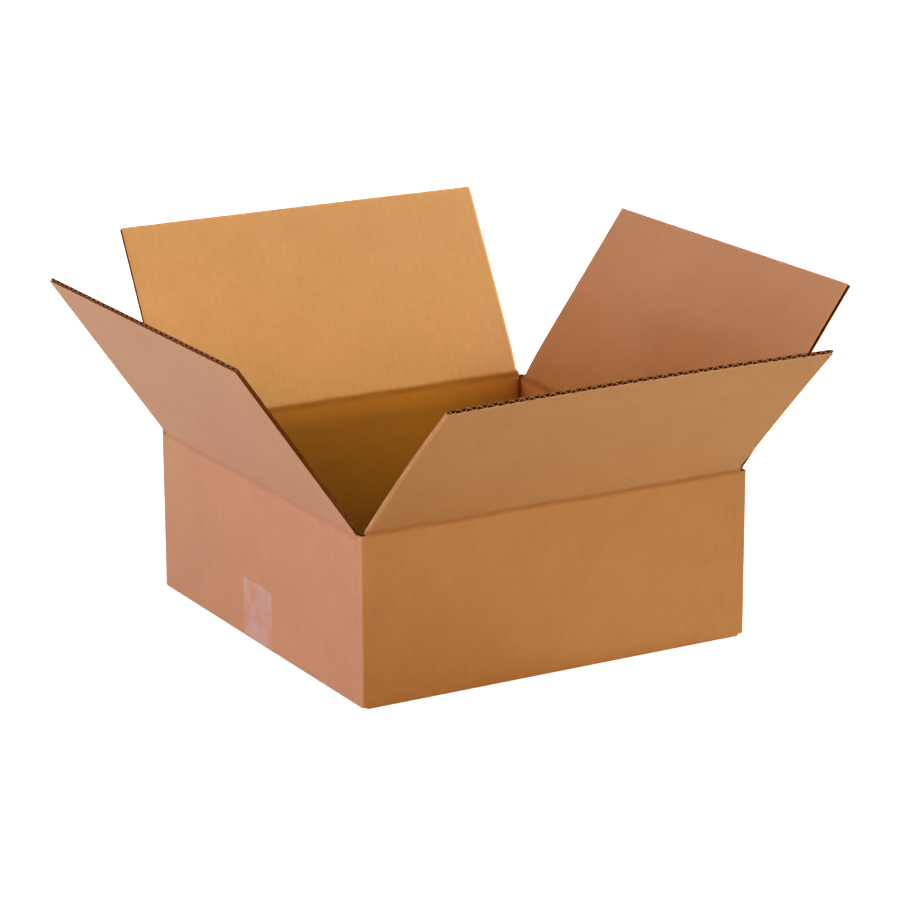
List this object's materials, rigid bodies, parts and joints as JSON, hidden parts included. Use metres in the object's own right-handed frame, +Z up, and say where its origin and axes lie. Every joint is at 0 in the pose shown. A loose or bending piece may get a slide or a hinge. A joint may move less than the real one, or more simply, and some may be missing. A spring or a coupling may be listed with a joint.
{
  "type": "cardboard box",
  "caption": "Open corrugated cardboard box with four top flaps folded out, its bottom flaps shut with clear tape.",
  "frame": {"origin": "middle of the underside, on the surface that the box stands on", "axes": "+X along the front wall, +Y from the front wall to the back wall, +Z up"},
  "size_m": [0.491, 0.4947, 0.2621],
  "materials": {
    "kraft_board": "matte",
    "clear_tape": "satin"
  },
  "bodies": {
    "carton": {"carton_body": "kraft_board", "bottom_tape": "clear_tape"},
    "front_flap": {"front_flap": "kraft_board"},
    "back_flap": {"back_flap": "kraft_board"},
    "left_flap": {"left_flap": "kraft_board"},
    "right_flap": {"right_flap": "kraft_board"}
  },
  "joints": [
    {"name": "front_crease", "type": "hinge", "parent": "carton", "child": "front_flap", "pos_m": [0, -0.1561, 0.1263], "axis": [1, 0, 0], "range_deg": [-134.3, 95.7]},
    {"name": "back_crease", "type": "hinge", "parent": "carton", "child": "back_flap", "pos_m": [0, 0.1561, 0.1263], "axis": [-1, 0, 0], "range_deg": [-119.3, 110.7]},
    {"name": "left_crease", "type": "hinge", "parent": "carton", "child": "left_flap", "pos_m": [-0.1561, 0, 0.1224], "axis": [0, -1, 0], "range_deg": [-125.1, 104.9]},
    {"name": "right_crease", "type": "hinge", "parent": "carton", "child": "right_flap", "pos_m": [0.1561, 0, 0.1224], "axis": [0, 1, 0], "range_deg": [-126.1, 103.9]}
  ]
}
